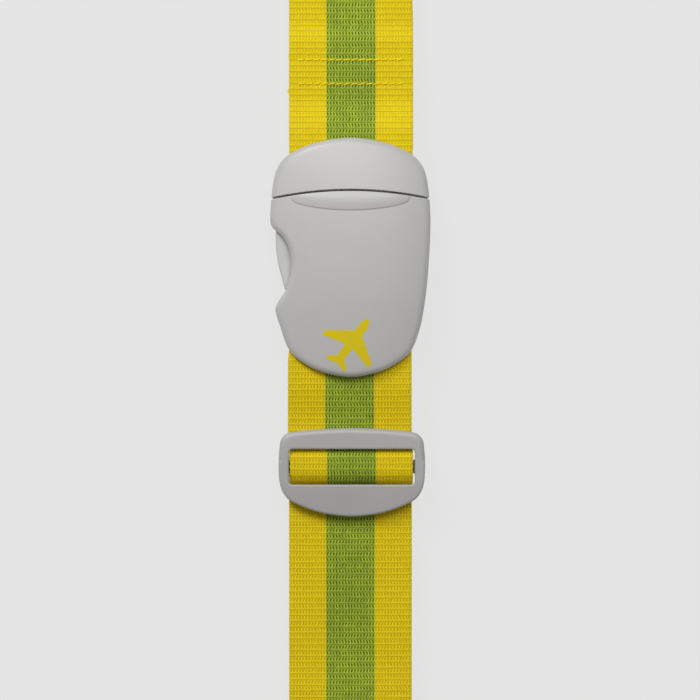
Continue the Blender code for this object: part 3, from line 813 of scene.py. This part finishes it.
def moulded(name, loops, top, bottom, material, spacing=1.4 * MM, wall=None, steps=6, features=()):
    """A moulded piece. top and bottom give heights at points. With a wall it is hollow and open
    underneath, and without one it is solid."""
    sheets = Sheets()
    points, faces = flat_fill(loops, spacing, features)
    high = top(points)
    low = bottom(points)
    sheets.surface(points, faces, high)
    sheets.wall(points, border_of(faces), high, low, steps)
    if wall is None:
        sheets.surface(points, faces, low)
    else:
        inner = moved_inwards(loops[0], wall)
        foot_points, foot_faces = flat_fill([loops[0], inner], None)
        foot = bottom(foot_points)
        sheets.surface(foot_points, foot_faces, foot)
        roof_points, roof_faces = flat_fill([inner], 2.5 * MM)
        roof = top(roof_points) - wall
        sheets.surface(roof_points, roof_faces, roof)
        floor = np.minimum(bottom(roof_points), roof)
        sheets.wall(roof_points, border_of(roof_faces), roof, floor, 2)
    return sheets.build(name, material)


def crown(points):
    x = (points[:, 0] - CROWN_CENTRE.x) / CROWN_RADII.x
    y = (points[:, 1] - CROWN_CENTRE.y) / CROWN_RADII.y
    return CROWN_CENTRE.z + CROWN_RADII.z * np.sqrt(np.maximum(1 - x ** 2 - y ** 2, 0.01))


def parting_y(x, offset=0.0):
    radius = PARTING_RADIUS + offset
    return PARTING_CENTRE_Y + np.sqrt(radius ** 2 - x ** 2)


FULL_OUTLINE = mirrored_outline(BUCKLE_OUTLINE)
NOTCH_EDGE = open_curve(SIDE_NOTCH)
LEFT_EDGE = ((-28.62, 9.3), (-29.7, 12.4), (-30.5, 15.5), (-30.75, 18.0), (-31.5, 26.0), (-32.4, 39.0),
             (-32.85, 52.4))


def rim_line():
    """The silhouette without the notch, which is a little fuller than the outline at the lower left."""
    x, y = FULL_OUTLINE[:, 0], FULL_OUTLINE[:, 1]
    replaced = (x < -20 * MM) & (y > 9.1 * MM) & (y < 52.6 * MM)
    start = np.where(replaced & ~np.roll(replaced, 1))[0][0]
    kept = np.roll(FULL_OUTLINE, -start, axis=0)[int(replaced.sum()):]
    left = open_curve(LEFT_EDGE)
    return np.vstack([kept, left if kept[-1, 1] < kept[0, 1] else left[::-1]])


RIM = rim_line()


def split_outline(keep_tongue_side):
    """The buckle's outline on one side of the parting line, closed along it."""
    offset = PARTING_GAP if keep_tongue_side else -PARTING_GAP
    gap = FULL_OUTLINE[:, 1] - parting_y(FULL_OUTLINE[:, 0], offset)
    keep = gap > 0.15 * MM if keep_tongue_side else gap < -0.15 * MM
    part = FULL_OUTLINE[keep]
    starts = np.where(keep & ~np.roll(keep, 1))[0][0]
    first = int(np.where((part == FULL_OUTLINE[starts]).all(axis=1))[0][0])
    part = np.roll(part, -first, axis=0)
    reach = max(abs(part[0, 0]), abs(part[-1, 0]))
    side = 1 if part[-1, 0] > 0 else -1
    xs = np.linspace(side * reach, -side * reach, 90)
    arc = np.column_stack([xs, parting_y(xs, offset)])
    return np.vstack([part, arc])


def thumb_pad_height(points):
    """The raised crescent: a small step along its lower edge, a soft swell, and a fall to the parting."""
    line = open_curve(THUMB_PAD)
    loop = np.vstack([line, [(25.0 * MM, 70.0 * MM), (-25.0 * MM, 70.0 * MM)]])
    deep = distance_to(points, line, closed=False) * np.where(inside(points, loop), 1, -1)
    reach = np.clip(deep / PAD_SWELL_REACH, 0, 1)
    step = smoothstep(deep / PAD_STEP_REACH)
    to_parting = np.clip(np.abs(points[:, 1] - parting_y(points[:, 0])) / PAD_FALL_REACH, 0, 1)
    fall = PAD_FALL * (1 - to_parting) ** 2 * reach
    return PAD_STEP * step + PAD_SWELL * (1 - (1 - reach) ** 2) - fall


def shell_top(points):
    """The crowned face, rounded at its rim and at the parting line."""
    parting = np.abs(points[:, 1] - parting_y(points[:, 0]))
    z = crown(points) - rim_drop(distance_to(points, RIM), SHELL_RIM)
    return z - rim_drop(parting - PARTING_GAP, PARTING_RIM)


def housing_top(points):
    """The same face with the notch's rounded edge and the thumb pad."""
    edge = distance_to(points, NOTCH_EDGE[NOTCH_EDGE[:, 1] > 19 * MM], closed=False)
    z = shell_top(points) - rim_drop(edge, NOTCH_RIM) - NOTCH_DIP * (1 - smoothstep(edge / NOTCH_DIP_REACH))
    return z + thumb_pad_height(points)


def wall_foot(points, slot):
    """Side walls reach the back, and the end wall stops above the webbing."""
    over = (np.abs(points[:, 0]) < WEB_HALF_WIDTH + SLOT_SIDE_GAP) & (points[:, 1] > slot[0])
    over &= points[:, 1] < slot[1]
    return np.where(over, LIP_LEVEL, HARDWARE_BACK)


def housing_shell(material):
    notch = NOTCH_EDGE
    outline = split_outline(False)
    x, y = outline[:, 0], outline[:, 1]
    cut = (x < -20 * MM) & (y < notch[0, 1] + 0.2 * MM) & (y > notch[-1, 1] - 0.2 * MM)
    start = np.where(cut & ~np.roll(cut, 1))[0][0]
    rolled = np.roll(outline, -start, axis=0)[int(cut.sum()):]
    climbing = rolled[0, 1] > rolled[-1, 1]
    loop = resampled(np.vstack([rolled, notch[::-1] if climbing else notch]), 0.65 * MM)
    pad = open_curve(THUMB_PAD, 6)
    pad = pad[pad[:, 1] < parting_y(pad[:, 0]) - 0.8 * MM]

    def foot(points):
        low = wall_foot(points, HOUSING_SLOT)
        at_notch = (points[:, 0] < -22.5 * MM) & (points[:, 1] > 19.5 * MM) & (points[:, 1] < 50.5 * MM)
        return np.where(at_notch, NOTCH_FOOT, low)

    face = moulded("housing_face", [loop], housing_top, foot, material, wall=SHELL_WALL, features=[pad])
    return add_boxes(face, (HOUSING_BAR, LATCH_LEDGE))


def cap_shell(material):
    loop = resampled(split_outline(True), 0.65 * MM)
    return moulded("tongue_face", [loop], shell_top, lambda p: wall_foot(p, CAP_SLOT), material,
                   wall=SHELL_WALL)


def parting_lip(material):
    """A thin wall that closes most of the parting gap, well below the face."""
    xs = np.linspace(-LIP_HALF_WIDTH, LIP_HALF_WIDTH, 80)
    near = np.column_stack([xs, parting_y(xs, 0.38 * MM)])
    far = np.column_stack([xs[::-1], parting_y(xs[::-1], -0.08 * MM)])

    def top(points):
        over = np.column_stack([points[:, 0] * 0.97, parting_y(points[:, 0]) + 2.0 * MM])
        return shell_top(over) - LIP_DROP

    return moulded("tongue_lip", [np.vstack([near, far])], top, lambda p: np.full(len(p), HARDWARE_BACK),
                   material, None, steps=2)


def prong(material):
    """The barbed arm, a little lower than the notch's edge."""
    loop = resampled(open_curve(PRONG, 6), 0.45 * MM)

    def top(points):
        swell = 0.5 * MM * ((points[:, 0] + 27 * MM) / (4 * MM)) ** 2
        return PRONG_TOP - swell - rim_drop(distance_to(points, loop), 0.9 * MM)

    return moulded("latch_arm", [loop], top, lambda p: np.full(len(p), BLADE_BOTTOM), material, 1.2 * MM)


def rounded_rectangle(low, high, radius, steps=6):
    loop = []
    corners = ((high[0], high[1], 0), (low[0], high[1], 90), (low[0], low[1], 180), (high[0], low[1], 270))
    for x, y, first in corners:
        cx = x - math.copysign(radius, x - (low[0] + high[0]) / 2)
        cy = y - math.copysign(radius, y - (low[1] + high[1]) / 2)
        for k in range(steps + 1):
            a = math.radians(first + 90 * k / steps)
            loop.append((cx + radius * math.cos(a), cy + radius * math.sin(a)))
    return loop


def slider(material):
    box_low, box_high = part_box("slider_frame")
    centre = (box_low[0] + box_high[0]) / 2
    outer = resampled(mirrored_outline(SLIDER_OUTLINE, 8) + (centre, 0), 0.7 * MM)
    left, right = centre - WINDOW_HALF, centre + WINDOW_HALF
    window = rounded_rectangle((left, WINDOW_Y[0]), (right, WINDOW_Y[1]), 1.5 * MM)
    window = resampled(window, 0.7 * MM)
    rail_top, rail_bottom = box_high[2], box_high[2] - RAIL_THICK

    def top(points):
        below = np.clip((-54.0 * MM - points[:, 1]) / (14 * MM), 0, 1)
        above = np.clip((points[:, 1] + 42.0 * MM) / (10 * MM), 0, 1)
        z = rail_top - LOWER_RAIL_FALL * below ** 1.3 - UPPER_RAIL_FALL * above
        edge = distance_to(points, outer)
        dip = UPPER_RIM_DIP * (1 - smoothstep(edge / UPPER_RIM_REACH))
        z = z - dip * (points[:, 1] > -46 * MM)
        z = z - rim_drop(edge, 0.9 * MM)
        return z - rim_drop(distance_to(points, window), 0.6 * MM)

    rails = moulded("slider_rails", [outer, window], top, lambda p: np.full(len(p), rail_bottom),
                    material, 1.6 * MM, steps=3)
    bar_low = SLIDER_BAR_LEVEL - SLIDER_BAR_THICK / 2
    blocks = [((left - 1.0 * MM, SLIDER_BAR_Y[0], bar_low),
               (right + 1.0 * MM, SLIDER_BAR_Y[1], bar_low + SLIDER_BAR_THICK), 0.9 * MM)]
    for x in (left - LUG_WIDTH, right):
        blocks.append(((x, LUG_Y[0], bar_low),
                       (x + LUG_WIDTH, LUG_Y[1], rail_bottom + 1.0 * MM), 0.4 * MM))
    return add_boxes(rails, blocks)


def add_boxes(thing, blocks):
    """Join rounded blocks, each (low corner, high corner, edge radius), to a piece."""
    work = bmesh.new()
    work.from_mesh(thing.data)
    for low, high, radius in blocks:
        low, high = Vector(low), Vector(high)
        place = Matrix.Translation((low + high) / 2) @ Matrix.Diagonal((*(high - low), 1.0))
        made = bmesh.ops.create_cube(work, size=1.0, matrix=place)
        edges = {e for v in made["verts"] for e in v.link_edges}
        bmesh.ops.bevel(work, geom=list(edges), offset=radius, segments=4, profile=0.5,
                        affect="EDGES", clamp_overlap=True)
    work.to_mesh(thing.data)
    work.free()
    shade(thing.data)
    return thing


# ------------ small pieces

def aeroplane_mark(material):
    """A plain aeroplane pictogram printed on the housing's face."""
    half = (
        (0.0, 11.5), (1.3, 10.2), (1.8, 7.8), (1.9, 4.4), (11.4, -2.2), (11.4, -4.6), (1.9, -2.0),
        (1.5, -7.4), (4.6, -9.8), (4.6, -11.6), (0.0, -10.2),
    )
    corners = [Vector(p) for p in half] + [Vector((-x, y)) for x, y in reversed(half[1:-1])]
    turn_by = Matrix.Rotation(math.radians(-36), 2)
    centre = Vector((0.6, 3.2))
    loop = resampled([(turn_by @ (p * 1.02) + centre) * MM for p in corners], 0.5 * MM)
    return moulded("printed_mark", [loop], lambda p: housing_top(p) + PRINT_RISE,
                   lambda p: housing_top(p) - PRINT_SINK, material, steps=1)


def tube(work, places, radius, sides=8):
    """A round thread through the places, closed at both ends."""
    rings = []
    for k, place in enumerate(places):
        along = (places[min(k + 1, len(places) - 1)] - places[max(k - 1, 0)]).normalized()
        across = along.cross(Vector((0, 0, 1))).normalized()
        up = across.cross(along)
        size = radius * (0.55 if k in (0, len(places) - 1) else 1.0)
        ring = []
        for n in range(sides):
            a = 2 * math.pi * n / sides
            ring.append(work.verts.new(place + size * (math.cos(a) * across + math.sin(a) * up)))
        rings.append(ring)
    for a, b in zip(rings, rings[1:]):
        for n in range(sides):
            work.faces.new((a[n], a[(n + 1) % sides], b[(n + 1) % sides], b[n]))
    work.faces.new(reversed(rings[0]))
    work.faces.new(rings[-1])


def stitch_row(name, y, material):
    """Slanted lockstitches from edge to edge, each diving into the webbing at both ends."""
    work = bmesh.new()
    level = SECOND_LEVEL + WEB_THICK / 2
    count = int(2 * (WEB_HALF_WIDTH - STITCH_MARGIN) / STITCH_PITCH)
    for k in range(count):
        x = -count * STITCH_PITCH / 2 + k * STITCH_PITCH
        tilt = random.uniform(0.22, 0.42) * MM
        places = []
        for step in range(9):
            t = step / 8
            rise = 0.24 * math.sin(math.pi * t) ** 0.6 - 0.26
            places.append(Vector((x + 0.1 * MM + t * (STITCH_PITCH - 0.1 * MM),
                                  y + (t - 0.5) * 2 * tilt, level + rise * MM)))
        tube(work, places, THREAD_RADIUS)
    mesh = bpy.data.meshes.new(name)
    bmesh.ops.recalc_face_normals(work, faces=work.faces)
    work.to_mesh(mesh)
    work.free()
    mesh.materials.append(material)
    mesh.shade_smooth()
    return placed(name, mesh)


def elastic_band(material):
    """A ribbed elastic ring round all layers near the strap's far end."""
    low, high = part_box("storage_band")
    half_width = (high[1] - low[1]) / 2
    centre_y = (high[1] + low[1]) / 2
    inner_low = (low[0] + BAND_THICK, low[2] + BAND_THICK)
    inner_high = (high[0] - BAND_THICK, high[2] - BAND_THICK)
    loop = resampled(rounded_rectangle(inner_low, inner_high, 0.9 * MM), 0.5 * MM)
    outward = normals_2d(loop)
    ridges = 36
    section = [(-1.0, 0.0)]
    for k in range(ridges + 1):
        t = k / ridges
        height = 0.72 + 0.28 * abs(math.sin(math.pi * 6 * t))
        section.append((2 * t - 1, height))
    section.append((1.0, 0.0))
    verts, faces = [], []
    for (x, z), (ox, oz) in zip(loop, outward):
        for across, height in section:
            verts.append((x + ox * height * BAND_THICK, centre_y + across * half_width,
                          z + oz * height * BAND_THICK))
    n, m = len(loop), len(section)
    for i in range(n):
        for j in range(m):
            j2, i2 = (j + 1) % m, (i + 1) % n
            faces.append((i * m + j, i2 * m + j, i2 * m + j2, i * m + j2))
    mesh = bpy.data.meshes.new("elastic_band")
    mesh.from_pydata(verts, [], faces)
    mesh.materials.append(material)
    mesh.shade_smooth()
    band = placed("elastic_band", mesh)
    fix_normals(band)
    return band


def soften_cad(node, material, radius=0.35 * MM):
    """Keep the CAD shape, with rounded edges and the plastic's finish."""
    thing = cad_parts[node]
    thing.data.materials.clear()
    thing.data.materials.append(material)
    bevel = thing.modifiers.new("edges", "BEVEL")
    bevel.width = radius
    bevel.segments = 3
    bevel.limit_method = "ANGLE"
    bevel.angle_limit = math.radians(40)


# ------------ stage

def area_light(name, place, size, power):
    lamp = bpy.data.lights.new(name, "AREA")
    lamp.shape = "ELLIPSE"
    lamp.size, lamp.size_y = size
    lamp.energy = power
    holder = placed(name, lamp)
    holder.location = place
    holder.rotation_euler = (LIT_POINT - Vector(place)).to_track_quat("-Z", "Y").to_euler()


def build_stage():
    bpy.ops.mesh.primitive_plane_add(size=6.0, location=(0, 0, -0.0002))
    floor = bpy.context.object
    floor.name = "floor"
    t = Tree("pale_floor")
    t.finish(Base_Color=(0.06, 0.06, 0.06), Roughness=0.9, Specular_IOR_Level=0.0,
             Emission_Color=(1.0, 1.0, 1.0), Emission_Strength=FLOOR_GLOW)
    floor.data.materials.append(t.material)
    world = bpy.data.worlds.new("studio")
    bpy.context.scene.world = world
    world.use_nodes = True
    background = world.node_tree.nodes["Background"]
    background.inputs[0].default_value = (1, 1, 1, 1)
    background.inputs[1].default_value = WORLD_GLOW
    area_light("key", *KEY_LIGHT)
    area_light("top", *TOP_LIGHT)
    camera = bpy.data.cameras.new("camera")
    camera.lens = LENS
    camera.sensor_width = SENSOR
    camera.clip_start = 0.05
    camera.clip_end = 20
    holder = placed("camera", camera)
    holder.location = (VIEW_X, 0.0, VIEW_HEIGHT + VIEW_HALF * LENS / (SENSOR / 2))
    bpy.context.scene.camera = holder
    bpy.context.scene.view_settings.view_transform = "Standard"
    bpy.context.scene.view_settings.look = "None"


# ------------ assembly

build_stage()
WEAVE = webbing_material()
SHELL = plastic_material("shell_plastic", (0.45, 0.445, 0.435), (0.42, 0.415, 0.405), 0.34)
INNER = plastic_material("inner_plastic", (0.50, 0.495, 0.48), (0.47, 0.465, 0.45), 0.38)
SLIDER = plastic_material("slider_plastic", (0.35, 0.345, 0.338), (0.32, 0.315, 0.308), 0.36)
THREAD = grained_material("sewing_thread", (2600.0, 2.0), ((0.70, 0.53, 0.003), (0.86, 0.69, 0.005)),
                          (0.00008, 0.7), (0.2, 0.4), Specular_IOR_Level=0.2)
PRINT = grained_material("printed_yellow", (900.0, 4.0, 0.6), ((0.56, 0.43, 0.004), (0.66, 0.53, 0.008)),
                         None, (0.15, 0.4), Specular_IOR_Level=0.2)
ELASTIC = grained_material("knitted_elastic", (2400.0, 3.0, 0.6),
                           ((0.012, 0.012, 0.013), (0.05, 0.05, 0.052)), (0.0001, 0.8), (0.2, 0.7),
                           Sheen_Weight=0.2)

# Mesh of a strip: step along it, columns in front, columns behind
FINE = (0.4 * MM, 117, 21)
COARSE = (0.6 * MM, 41, 21)
LAYER = (0.6 * MM, 21, 21)
HANK = (0.6 * MM, 21, 13)


def no_sway(points):
    return np.zeros(len(points)), np.ones(len(points))


def slider_sway(points):
    y = points[:, 0] / MM
    shift = SLIDER_WEB_X * smoothstep((y + 59.5) / 4) * (1 - smoothstep((y + 41) / 5))
    beyond = smoothstep((y + 40) / 5) * (1 - smoothstep((y + 5) / 6))
    return shift + ADJUSTER_WEB_X * beyond, 1 + 0.006 * beyond


def upper_sway(points):
    y = points[:, 0] / MM
    near_buckle = (points[:, 1] > layer_level(4) + FOLD_RADIUS) * (1 - smoothstep((y - 134) / 20))
    return UPPER_WEB_X * near_buckle, 1 + 0.010 * near_buckle * smoothstep((y - 79.5) / 4)


SNAGS = ((120.6 * MM, 0.35 * MM), (106.2 * MM, 0.9 * MM))
# Name, line, mesh, sway, stitch rows, snags, how it is held and what it rests on
STRIPS = (
    ("strap_slider_end", slider_loop_line(), COARSE, slider_sway, (), (),
     "folded", ("slider_rails", "strap_first_layer")),
    ("strap_adjuster_back", adjuster_back_line(), COARSE, slider_sway, (), (),
     "laid", ("strap_first_layer",)),
    ("strap_adjuster_front", adjuster_front_line(), FINE, slider_sway, (), (),
     "stretched", ("strap_slider_end", "housing_face")),
    ("strap_slider_hump", slider_hump_line(), FINE, slider_sway, (), (),
     "folded", ("slider_rails", "strap_slider_end")),
    ("strap_lower_run", straight(LOWER_SEAM_Y, WRAP_SEAM_Y, BASE_LEVEL), FINE, slider_sway, (), (),
     "laid", ("strap_first_layer",)),
    ("strap_hank", hank_line(), HANK, no_sway, (), (),
     "folded", ("floor",)),
    ("strap_first_layer", straight(FAR_FOLD_Y, TONGUE_SEAM_Y, layer_level(4)), LAYER, no_sway, (), (),
     "laid", ("strap_hank",)),
    ("strap_upper_run", upper_run_line(), FINE, upper_sway, STITCH_ROWS, SNAGS,
     "folded", ("strap_hank", "tongue_body")),
)
strips = {}
distance = 0.0
for name, line, mesh_size, sway, dents, snags, held, rests_on in STRIPS:
    start = distance
    strips[name], distance = webbing(name, line, start, mesh_size, sway, dents, snags)
    strips[name].data.materials.append(WEAVE)

for name, node, body in (
    ("strap_slider_end", "webbing_slider_loop", "slider"),
    ("strap_slider_hump", "webbing_slider_hump", "slider"),
    ("strap_hank", "webbing_hank", "strap"),
    ("strap_upper_run", "webbing_upper_run", "tongue"),
):
    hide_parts(node)
    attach(strips[name], body)
for name, node, start, end, other in (
    ("strap_adjuster_back", "webbing_adjuster_loop", HOUSING_TURN_Y, SLIDER_SEAM_BACK_Y, "slider"),
    ("strap_adjuster_front", "webbing_adjuster_loop", HOUSING_TURN_Y - 1 * MM, SLIDER_SEAM_FRONT_Y, "slider"),
    ("strap_lower_run", "webbing_lower_run", WRAP_SEAM_Y, LOWER_SEAM_Y, "slider"),
    ("strap_first_layer", "webbing_hank", WRAP_SEAM_Y, TONGUE_SEAM_Y, "tongue"),
):
    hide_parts(node)
    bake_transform(strips[name])

for piece, node, body, slot in (
    (housing_shell(SHELL), "housing_front_shell", "strap", "shell_grey"),
    (cap_shell(SHELL), "tongue_cap", "tongue", "shell_grey"),
    (prong(INNER), "latch_prong", "latch", "inner_grey"),
    (slider(SLIDER), "slider_frame", "slider", "slider_grey"),
    (stitch_row("stitches_end", STITCH_ROWS[0], THREAD), "stitch_row_tongue_end", "tongue", "thread"),
    (stitch_row("stitches_near", STITCH_ROWS[1], THREAD), "stitch_row_tongue_near", "tongue", "thread"),
    (stitch_row("stitches_slider", SLIDER_STITCH_Y, THREAD), "stitch_row_slider", "slider", "thread"),
    (elastic_band(ELASTIC), "storage_band", "strap", "band"),
):
    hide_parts(node)
    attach(piece, body)
lip = parting_lip(INNER)
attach(lip, "tongue")
mark = aeroplane_mark(PRINT)
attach(mark, "strap")
soften_cad("tongue_body", INNER)
soften_cad("housing_back_plate", INNER)
